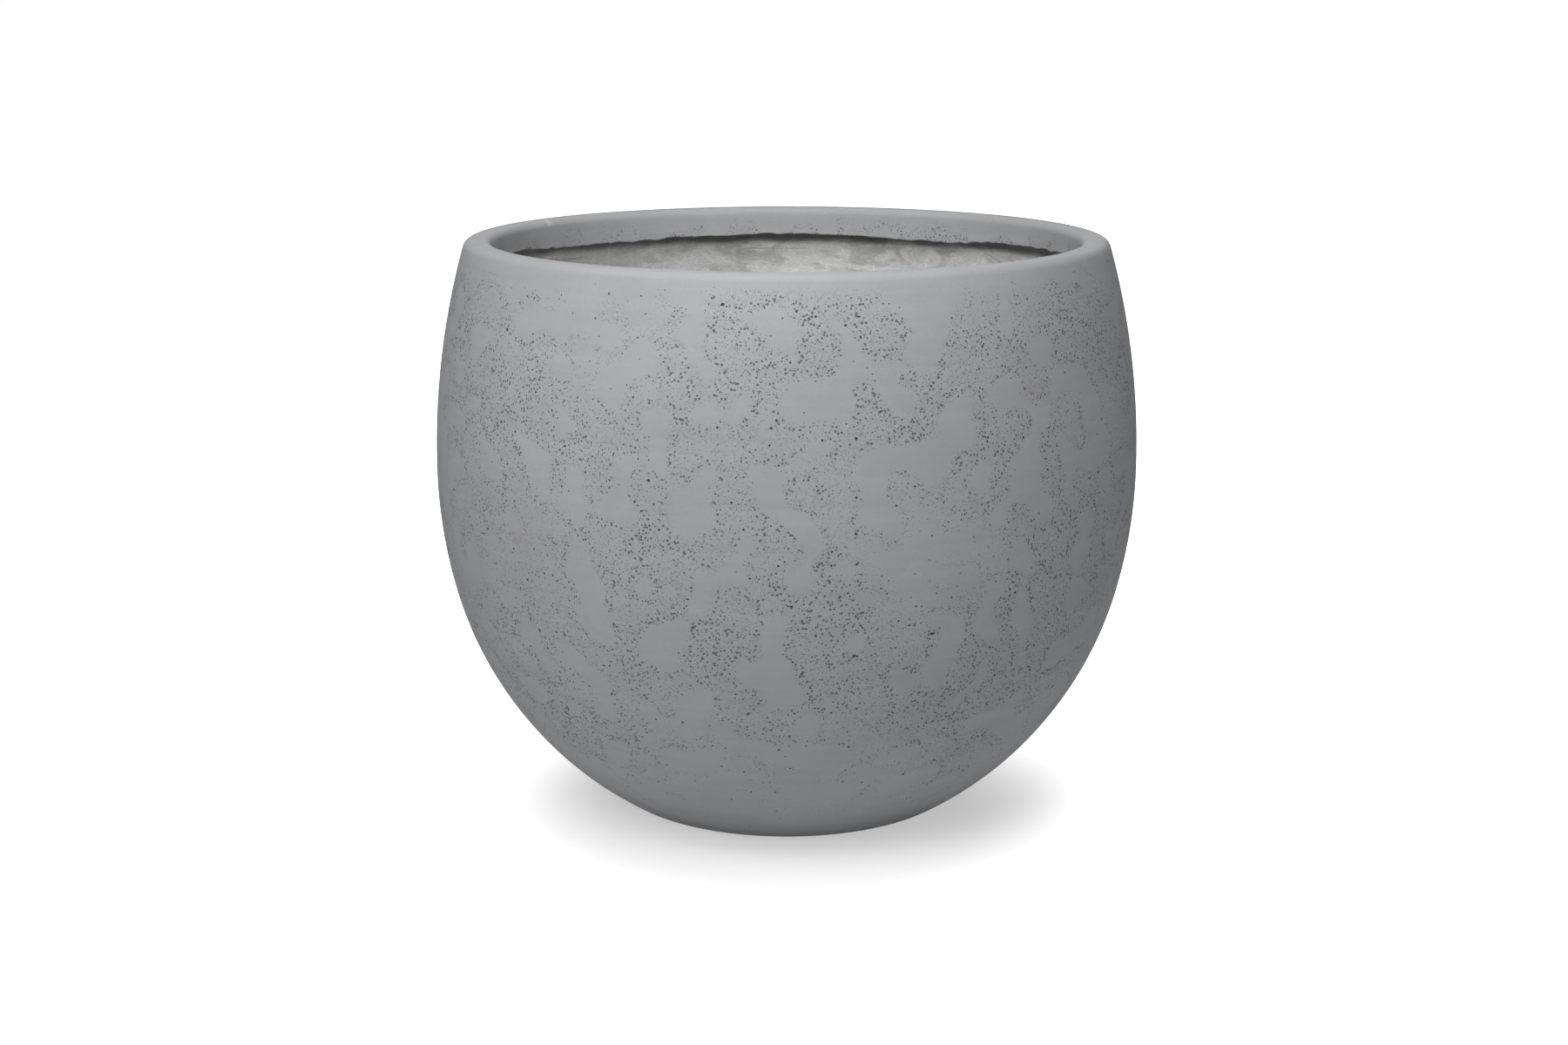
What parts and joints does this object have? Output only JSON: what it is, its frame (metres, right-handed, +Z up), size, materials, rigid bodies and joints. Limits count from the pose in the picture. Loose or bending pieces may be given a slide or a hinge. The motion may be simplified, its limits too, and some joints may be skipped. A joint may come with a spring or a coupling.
{
  "type": "floor planter",
  "caption": "Bowl shaped floor planter: stone composite skin over a glass fibre lining, rolled rim with a trimmed inner return, foot ring, and a rubber bung in the drain hole.",
  "frame": {"origin": "middle of the ground face, where the foot ring stands", "axes": "+Z up along the axis of the bowl; the bowl is the same all round, and the grip of the bung lies along X"},
  "size_m": [0.6, 0.6, 0.483],
  "materials": {
    "stone_composite": "matte",
    "laminate": "matte",
    "filled_resin": "matte",
    "rubber": "matte"
  },
  "bodies": {
    "planter": {"outer_skin": "stone_composite", "fibreglass_lining": "laminate", "rim_core": "filled_resin"},
    "bung": {"drain_plug": "rubber"}
  },
  "joints": [
    {"name": "bung_lift", "type": "slide", "parent": "planter", "child": "bung", "axis": [0, 0, 1], "range_m": [0, 0.5]}
  ]
}
